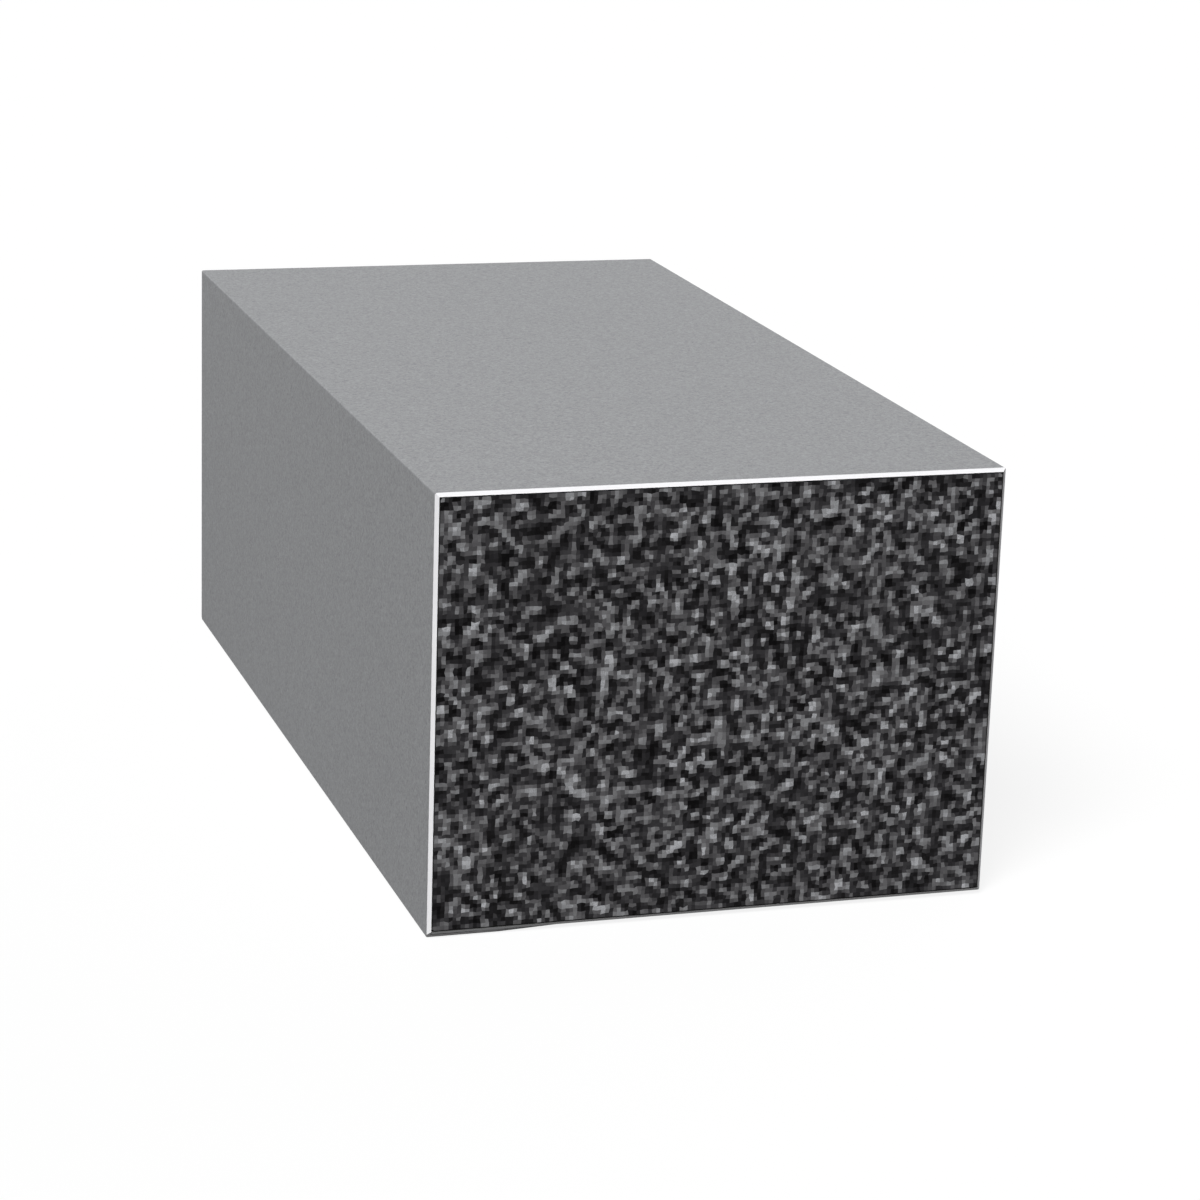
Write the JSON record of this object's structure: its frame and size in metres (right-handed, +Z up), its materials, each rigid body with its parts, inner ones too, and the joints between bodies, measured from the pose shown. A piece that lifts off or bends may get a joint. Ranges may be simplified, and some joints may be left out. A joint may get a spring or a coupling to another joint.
{
  "type": "charcoal stick in a paper sleeve",
  "caption": "Chunky rectangular stick of pressed charcoal in a snug sliding paper sleeve, for broad drawing and shading.",
  "frame": {"origin": "middle of the resting face, on the underside of the sleeve's glue flap, half way along the stick", "axes": "+X to the right across the width, +Y along the length from the drawing end to the back end, +Z up from the resting face"},
  "size_m": [0.026, 0.051, 0.02],
  "materials": {
    "charcoal": "pressed charcoal, matt and granular",
    "sleeve_paper": "grey uncoated paper, white where it is cut",
    "seam_glue": "dried paper glue"
  },
  "bodies": {
    "stick": {"charcoal_core": "charcoal"},
    "sleeve": {"paper_sleeve": "sleeve_paper", "seam_glue": "seam_glue"}
  },
  "joints": [
    {"name": "sleeve_slide", "type": "slide", "parent": "stick", "child": "sleeve", "axis": [0, 1, 0], "range_m": [0, 0.052]}
  ]
}
